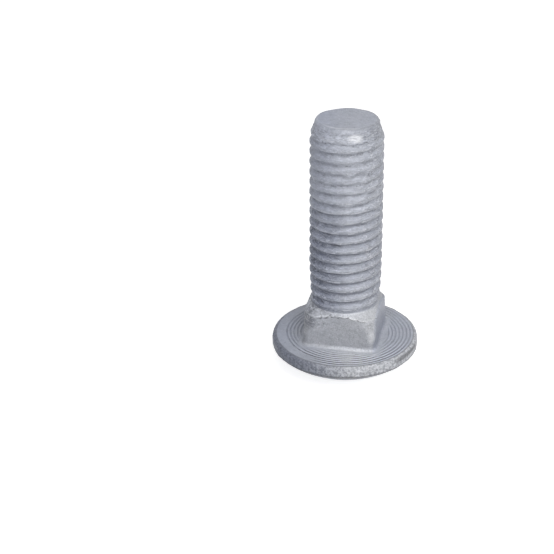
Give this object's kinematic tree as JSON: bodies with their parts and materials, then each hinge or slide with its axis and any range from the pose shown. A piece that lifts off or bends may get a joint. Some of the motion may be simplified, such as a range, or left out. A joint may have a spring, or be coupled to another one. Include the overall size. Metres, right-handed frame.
{
  "type": "carriage bolt",
  "caption": "Hot-dip galvanised carriage bolt: low domed head, square neck and a full-length coarse thread.",
  "frame": {"origin": "lowest point of the head's crown, on the axis", "axes": "+Z along the axis from the head to the threaded end; the square neck's flats face along X and Y"},
  "size_m": [0.0324, 0.0324, 0.059],
  "materials": {
    "galvanised_steel": "hot-dip galvanised, matt pale grey"
  },
  "bodies": {
    "root": {"bolt": "galvanised_steel"}
  },
  "joints": []
}
